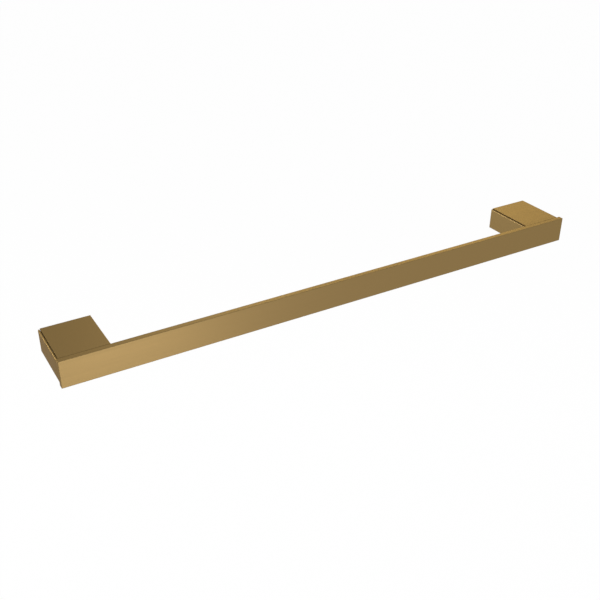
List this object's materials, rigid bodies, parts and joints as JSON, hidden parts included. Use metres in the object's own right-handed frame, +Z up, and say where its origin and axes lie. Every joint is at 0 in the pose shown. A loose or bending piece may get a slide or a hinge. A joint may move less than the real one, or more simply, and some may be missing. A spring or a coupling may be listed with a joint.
{
  "type": "towel bar",
  "caption": "Straight towel bar: a flat rectangular rail in front of box posts that are folded from sheet and slide over hidden wall brackets.",
  "frame": {"origin": "on the wall plane, midway between the two posts, at the height of the wall screws", "axes": "+X along the rail towards the end that runs past its post, +Y into the wall, +Z up"},
  "size_m": [0.61, 0.064, 0.029],
  "materials": {
    "rail_brass": "fine brushed along the rail, satin",
    "post_brass": "fine brushed across the post, satin",
    "screw_steel": "turned, plain stainless",
    "bracket_zinc": "die cast, matt nickel plated"
  },
  "bodies": {
    "root": {"rail": "rail_brass", "left_post_sleeve": "post_brass", "left_front_plate": "post_brass", "left_rail_screw_outer": "screw_steel", "left_rail_screw_inner": "screw_steel", "left_spring_washer_outer": "screw_steel", "left_spring_washer_inner": "screw_steel", "left_wall_bracket": "bracket_zinc", "left_clinch_nut": "post_brass", "left_set_screw": "screw_steel", "right_post_sleeve": "post_brass", "right_front_plate": "post_brass", "right_rail_screw_outer": "screw_steel", "right_rail_screw_inner": "screw_steel", "right_spring_washer_outer": "screw_steel", "right_spring_washer_inner": "screw_steel", "right_wall_bracket": "bracket_zinc", "right_clinch_nut": "post_brass", "right_set_screw": "screw_steel"}
  },
  "joints": []
}
